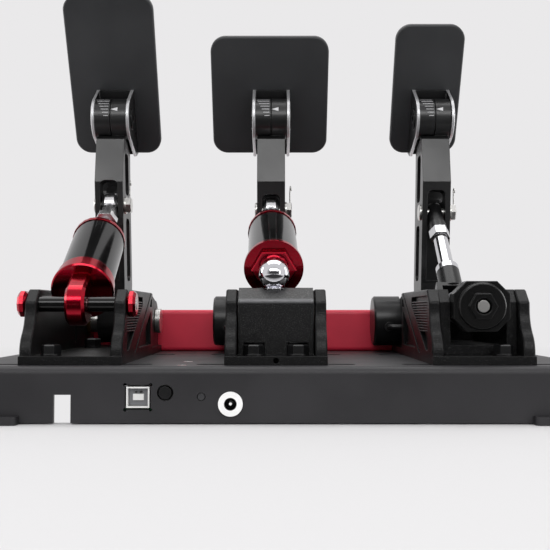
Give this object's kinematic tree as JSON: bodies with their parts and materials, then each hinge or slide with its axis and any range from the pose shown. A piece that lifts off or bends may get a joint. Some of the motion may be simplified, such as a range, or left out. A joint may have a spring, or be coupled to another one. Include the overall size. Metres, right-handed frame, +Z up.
{
  "type": "sim racing pedal set",
  "caption": "Floor or rig mounted pedal set with throttle, brake and clutch: sprung arms on a bent sheet base, dampers, tilting faces and rear sockets.",
  "frame": {"origin": "centre of the four rig slots, on the underside of the foot plates", "axes": "+X across the set with the throttle at -X and the clutch at +X, +Y towards the driver, +Z up"},
  "size_m": [0.39, 0.252, 0.2732],
  "materials": {
    "black_powder_coat": "textured powder coat",
    "black_cast": "fine textured powder coat",
    "red_anodised": "red anodised",
    "red_satin": "satin red",
    "black_anodised": "black anodised, satin",
    "face_anodised": "dark anodised, satin",
    "gloss_black": "glossy black",
    "chrome": "polished chrome",
    "black_steel": "black oxide",
    "bright_steel": "bright steel",
    "spring_steel": "drawn wire",
    "elastomer": "matt",
    "black_plastic": "moulded",
    "circuit_board": "solder resist",
    "nickel_shell": "nickel plated",
    "smoked_window": "smoked window",
    "bronze": "sintered bronze"
  },
  "bodies": {
    "base": {"base_tray": "black_powder_coat", "foot_plates": "black_powder_coat", "cross_beam": "red_satin", "base_screws": "black_steel", "controller_board": "circuit_board", "board_standoffs": "bright_steel", "usb_socket": "nickel_shell", "power_jack": "nickel_shell", "status_light": "smoked_window", "throttle_bracket": "black_cast", "brake_bracket": "black_cast", "clutch_bracket": "black_cast", "throttle_sensor_housing": "black_plastic", "brake_sensor_housing": "black_plastic", "clutch_sensor_housing": "black_plastic", "pivot_bushes": "bronze", "bracket_bolts": "black_steel", "throttle_cross_pin": "bright_steel", "throttle_pin_sleeves": "gloss_black", "throttle_end_nuts": "red_anodised", "brake_load_cell": "black_anodised", "brake_cover": "black_cast", "brake_ball_stud": "chrome", "clutch_frame": "black_cast", "clutch_end_block": "black_anodised", "clutch_guide_rod": "bright_steel", "clutch_spring": "spring_steel"},
    "button": {"reset_button": "black_plastic"},
    "throttle_pedal": {"throttle_arm": "black_anodised", "throttle_pivot_shaft": "bright_steel", "throttle_clevis_bolt": "bright_steel"},
    "throttle_face": {"throttle_face_bracket": "black_anodised", "throttle_face_bolt": "black_steel", "throttle_face_plate": "face_anodised"},
    "brake_pedal": {"brake_arm": "black_anodised", "brake_pivot_shaft": "bright_steel", "brake_clevis_bolt": "bright_steel"},
    "brake_face": {"brake_face_bracket": "black_anodised", "brake_face_bolt": "black_steel", "brake_face_plate": "face_anodised"},
    "clutch_pedal": {"clutch_arm": "black_anodised", "clutch_pivot_shaft": "bright_steel", "clutch_clevis_bolt": "bright_steel"},
    "clutch_face": {"clutch_face_bracket": "black_anodised", "clutch_face_bolt": "black_steel", "clutch_face_plate": "face_anodised"},
    "throttle_damper": {"throttle_cylinder_end": "red_anodised", "throttle_tube": "gloss_black", "throttle_ring": "red_anodised", "throttle_spring": "spring_steel"},
    "throttle_piston": {"throttle_rod": "chrome", "throttle_rod_end": "chrome"},
    "brake_damper": {"brake_socket": "red_anodised", "brake_tube": "gloss_black", "brake_ring": "red_anodised", "brake_elastomers": "elastomer"},
    "brake_piston": {"brake_rod": "chrome", "brake_rod_end": "chrome"},
    "clutch_carriage": {"clutch_slider": "black_anodised"},
    "clutch_link": {"clutch_strut": "gloss_black"}
  },
  "joints": [
    {"name": "reset_press", "type": "slide", "parent": "base", "child": "button", "axis": [0, 1, 0], "range_m": [0, 0.0012], "stiffness_N_per_m": 400, "springref_m": -0.0005},
    {"name": "throttle_press", "type": "hinge", "parent": "base", "child": "throttle_pedal", "pos_m": [-0.1096, 0.045, 0.052], "axis": [1, 0, 0], "range_deg": [0, 15], "stiffness_Nm_per_rad": 12, "springref_deg": -11.46},
    {"name": "throttle_face_tilt", "type": "hinge", "parent": "throttle_pedal", "child": "throttle_face", "pos_m": [-0.1133, 0.034, 0.1925], "axis": [1, 0, 0], "range_deg": [-10, 10]},
    {"name": "brake_press", "type": "hinge", "parent": "base", "child": "brake_pedal", "pos_m": [0, 0.045, 0.052], "axis": [1, 0, 0], "range_deg": [0, 8], "stiffness_Nm_per_rad": 150, "springref_deg": -2.86},
    {"name": "brake_face_tilt", "type": "hinge", "parent": "brake_pedal", "child": "brake_face", "pos_m": [-0.0033, 0.034, 0.1925], "axis": [1, 0, 0], "range_deg": [-10, 10]},
    {"name": "clutch_press", "type": "hinge", "parent": "base", "child": "clutch_pedal", "pos_m": [0.111, 0.045, 0.052], "axis": [1, 0, 0], "range_deg": [0, 16], "stiffness_Nm_per_rad": 20, "springref_deg": -11.46},
    {"name": "clutch_face_tilt", "type": "hinge", "parent": "clutch_pedal", "child": "clutch_face", "pos_m": [0.109, 0.034, 0.1925], "axis": [1, 0, 0], "range_deg": [-10, 10]},
    {"name": "throttle_swing", "type": "hinge", "parent": "base", "child": "throttle_damper", "pos_m": [-0.1096, -0.09, 0.0627], "axis": [1, 0, 0], "range_deg": [0, 3]},
    {"name": "throttle_stroke", "type": "slide", "parent": "throttle_damper", "child": "throttle_piston", "axis": [0.0271, -0.8636, -0.5035], "range_m": [0, 0.0215], "deforming": ["throttle_spring"]},
    {"name": "brake_swing", "type": "hinge", "parent": "base", "child": "brake_damper", "pos_m": [-0.0011, -0.085, 0.0795], "axis": [1, 0, 0], "range_deg": [0, 1.5]},
    {"name": "brake_stroke", "type": "slide", "parent": "brake_damper", "child": "brake_piston", "axis": [0.0179, -0.9194, -0.393], "range_m": [0, 0.0115], "deforming": ["brake_elastomers"]},
    {"name": "clutch_slide", "type": "slide", "parent": "base", "child": "clutch_carriage", "axis": [0, -1, 0], "range_m": [0, 0.0285], "deforming": ["clutch_spring"]},
    {"name": "clutch_link_swing", "type": "hinge", "parent": "clutch_carriage", "child": "clutch_link", "pos_m": [0.111, -0.032, 0.0613], "axis": [1, 0, 0], "range_deg": [-8, 0]}
  ],
  "couplings": [
    {"joint": "throttle_swing", "follows": "throttle_press", "ratio": 0.14103},
    {"joint": "throttle_stroke", "follows": "throttle_press", "m_per_rad": 0.079209},
    {"joint": "brake_swing", "follows": "brake_press", "ratio": 0.085061},
    {"joint": "brake_stroke", "follows": "brake_press", "m_per_rad": 0.07688},
    {"joint": "clutch_slide", "follows": "clutch_press", "m_per_rad": 0.096701},
    {"joint": "clutch_link_swing", "follows": "clutch_press", "ratio": -0.40298}
  ]
}
